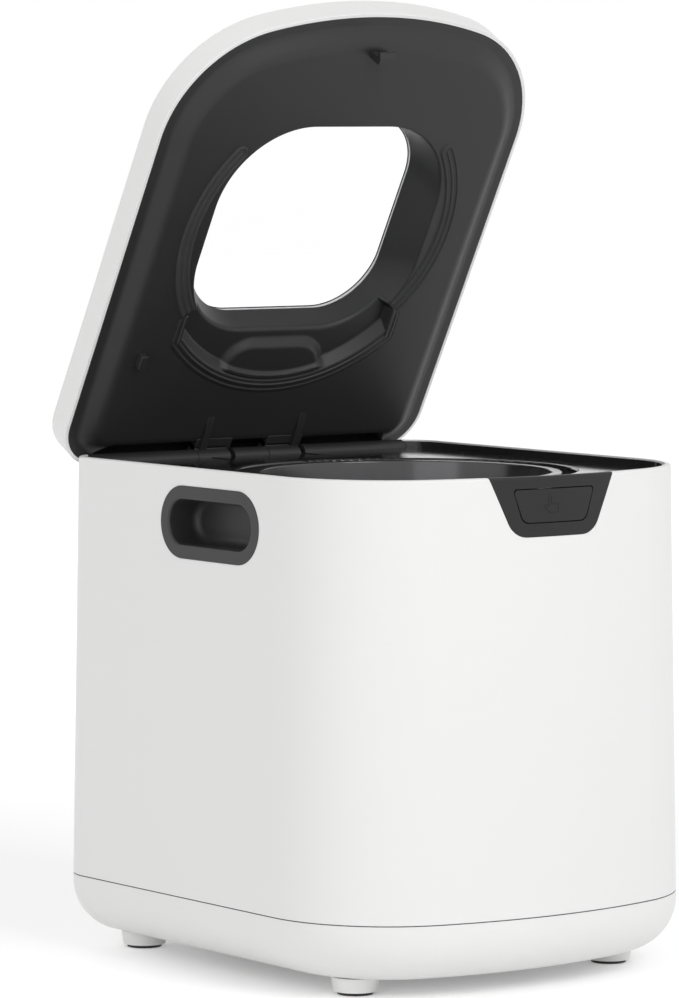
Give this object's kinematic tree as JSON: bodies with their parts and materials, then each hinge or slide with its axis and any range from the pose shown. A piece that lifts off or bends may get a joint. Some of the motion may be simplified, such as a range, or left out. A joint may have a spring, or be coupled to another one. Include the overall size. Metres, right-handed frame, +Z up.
{
  "type": "electric food waste composter",
  "caption": "Countertop electric food-waste composter with a lift-out stirred bucket, hinged window lid, push latch, geared drive and pull-out carbon filter.",
  "frame": {"origin": "on the table, below the middle of the body", "axes": "+Z up, -Y to the front with the release button, +X to the right hand seen from the front"},
  "size_m": [0.2786, 0.3403, 0.5781],
  "materials": {
    "white_shell": "satin white moulding",
    "black_gloss": "gloss black moulding",
    "black_plastic": "satin black moulding",
    "rubber": "matt",
    "window": "clear",
    "aluminium": "spun and coated",
    "steel": "plain",
    "brass": "plain",
    "gear_plastic": "moulded acetal",
    "carbon": "coarse granules",
    "board": "circuit board"
  },
  "bodies": {
    "housing": {"main_housing": "white_shell", "base_tray": "white_shell", "foot_1": "white_shell", "foot_2": "white_shell", "foot_3": "white_shell", "foot_4": "white_shell", "foot_pad_1": "rubber", "foot_pad_2": "rubber", "foot_pad_3": "rubber", "foot_pad_4": "rubber", "top_deck": "black_gloss", "hinge_beam": "black_plastic", "hinge_pin": "steel", "release_bezel": "black_gloss", "latch_pin": "steel", "hand_cup_left": "black_plastic", "hand_cup_right": "black_plastic", "heating_pot": "aluminium", "pot_gasket": "rubber", "heater_band": "steel", "pot_sensor": "steel", "gearbox_case": "aluminium", "gearbox_cover": "aluminium", "gear_pin": "steel", "motor": "steel", "fan_housing": "black_plastic", "air_duct": "black_plastic", "filter_sleeve": "black_plastic", "power_board": "board", "mains_inlet": "black_plastic", "inlet_blade_1": "brass", "inlet_blade_2": "brass", "inlet_blade_3": "brass", "lid_switch": "black_plastic", "button_spring_left": "steel", "button_spring_right": "steel"},
    "lid": {"lid_shell": "white_shell", "lid_liner": "black_plastic", "lid_window": "window", "seal_left": "rubber", "seal_right": "rubber", "lid_hook": "black_plastic", "touch_panel": "black_gloss", "touch_board": "board"},
    "vent_cover": {"vent_cover": "black_plastic"},
    "release_button": {"release_button": "black_gloss"},
    "latch_lever": {"latch_lever": "black_plastic"},
    "bucket": {"bucket": "aluminium", "bucket_bush": "brass"},
    "stirring_blade": {"stirring_blade": "aluminium"},
    "output_drive": {"drive_shaft": "steel", "drive_dog": "steel", "output_gear": "gear_plastic"},
    "compound_gear": {"compound_gear": "gear_plastic"},
    "motor_rotor": {"motor_pinion": "steel"},
    "fan_rotor": {"fan_rotor": "black_plastic"},
    "filter_drawer": {"filter_drawer": "black_plastic", "carbon_filter": "carbon"}
  },
  "joints": [
    {"name": "lid_hinge", "type": "hinge", "parent": "housing", "child": "lid", "pos_m": [0, 0.1517, 0.2952], "axis": [-1, 0, 0], "range_deg": [-60.6, 29.4]},
    {"name": "vent_cover_pull", "type": "slide", "parent": "lid", "child": "vent_cover", "axis": [0, -0.8712, -0.4909], "range_m": [0, 0.03]},
    {"name": "button_press", "type": "slide", "parent": "housing", "child": "release_button", "axis": [0, 1, 0], "range_m": [0, 0.003], "stiffness_N_per_m": 400, "springref_m": -0.002, "deforming": ["button_spring_left", "button_spring_right"]},
    {"name": "latch_turn", "type": "hinge", "parent": "housing", "child": "latch_lever", "pos_m": [0, -0.147, 0.282], "axis": [1, 0, 0], "range_deg": [0, 14.5]},
    {"name": "bucket_lift", "type": "slide", "parent": "housing", "child": "bucket", "axis": [0, 0, 1], "range_m": [0, 0.12]},
    {"name": "blade_turn", "type": "hinge", "parent": "bucket", "child": "stirring_blade", "pos_m": [0, -0.014, 0.16], "axis": [0, 0, 1], "continuous": true},
    {"name": "shaft_turn", "type": "hinge", "parent": "housing", "child": "output_drive", "pos_m": [0, -0.014, 0.09], "axis": [0, 0, 1], "continuous": true},
    {"name": "compound_turn", "type": "hinge", "parent": "housing", "child": "compound_gear", "pos_m": [0.02106, 0.02248, 0.07], "axis": [0, 0, 1], "continuous": true},
    {"name": "motor_turn", "type": "hinge", "parent": "housing", "child": "motor_rotor", "pos_m": [0.06254, 0.01516, 0.07], "axis": [0, 0, 1], "continuous": true},
    {"name": "fan_turn", "type": "hinge", "parent": "housing", "child": "fan_rotor", "pos_m": [-0.07, 0.116, 0.215], "axis": [0, 1, 0], "continuous": true},
    {"name": "filter_pull", "type": "slide", "parent": "housing", "child": "filter_drawer", "axis": [0, 1, 0], "range_m": [0, 0.06]}
  ],
  "couplings": [
    {"joint": "latch_turn", "follows": "button_press", "rad_per_m": 84},
    {"joint": "blade_turn", "follows": "shaft_turn", "ratio": 1},
    {"joint": "compound_turn", "follows": "shaft_turn", "ratio": -3},
    {"joint": "motor_turn", "follows": "shaft_turn", "ratio": 9}
  ]
}
